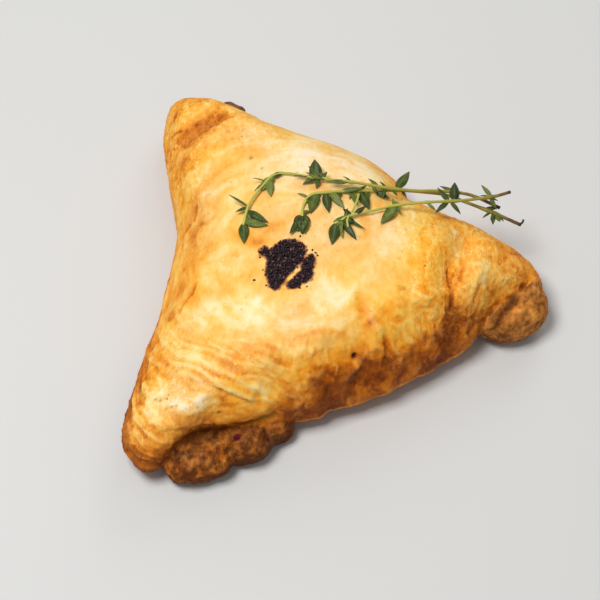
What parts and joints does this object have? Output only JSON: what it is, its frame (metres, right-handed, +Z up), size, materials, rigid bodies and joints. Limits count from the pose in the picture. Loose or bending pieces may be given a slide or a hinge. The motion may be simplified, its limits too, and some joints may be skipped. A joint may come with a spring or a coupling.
{
  "type": "samsa",
  "caption": "Baked triangular puff pastry parcel with a domed golden crust, folded corners, a dark seed patch and thyme sprigs on top.",
  "frame": {"origin": "on the surface it lies on, under the middle of the box round the whole object", "axes": "+Z up; the side of the picture's camera is -Y, and +X is that camera's right"},
  "size_m": [0.1405, 0.146, 0.0406],
  "materials": {
    "baked_crust": "egg-washed puff pastry, satin on the dome and dry at the folds",
    "thyme": "fresh herb leaf, satin"
  },
  "bodies": {
    "root": {"crust": "baked_crust", "thyme_sprig_long": "thyme", "thyme_sprig_middle": "thyme", "thyme_sprig_short": "thyme"}
  },
  "joints": []
}
